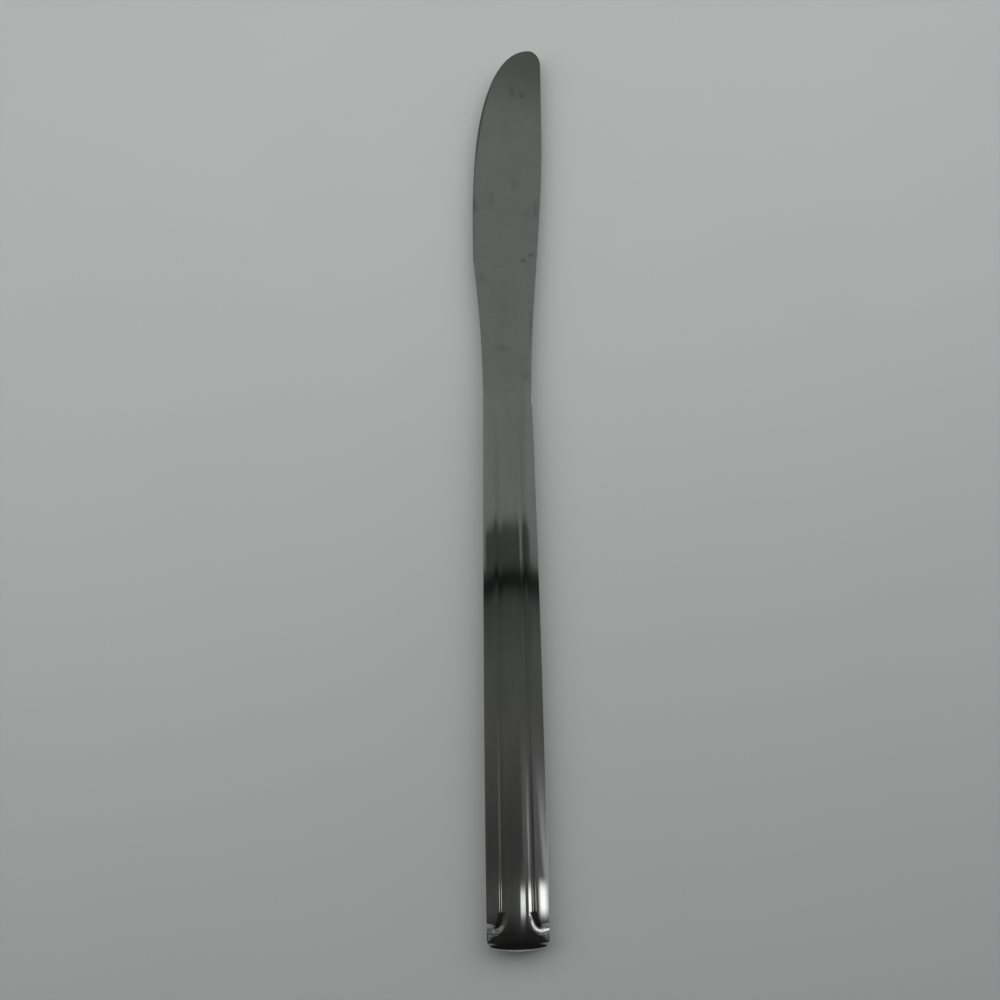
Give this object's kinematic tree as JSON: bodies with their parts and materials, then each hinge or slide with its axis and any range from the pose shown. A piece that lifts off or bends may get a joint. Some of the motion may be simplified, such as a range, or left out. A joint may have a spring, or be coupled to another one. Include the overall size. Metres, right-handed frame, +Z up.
{
  "type": "dinner knife",
  "caption": "Round-tipped steel table knife for cutting food: a ground blade whose tang is cemented into a slim hollow handle with long grooves that sweep out at the butt.",
  "frame": {"origin": "middle of the underside of the knife's bounding box as it lies on its back", "axes": "+X from the cutting edge to the spine, +Y from the butt to the blade's tip, +Z up through the upper face"},
  "size_m": [0.018, 0.228, 0.0078],
  "materials": {
    "blade_steel": "satin",
    "handle_steel": "polished",
    "braze_metal": "satin",
    "cement": "matte"
  },
  "bodies": {
    "root": {"blade": "blade_steel", "handle_front_shell": "handle_steel", "handle_back_shell": "handle_steel", "seam_braze": "braze_metal", "tang_cement": "cement"}
  },
  "joints": []
}
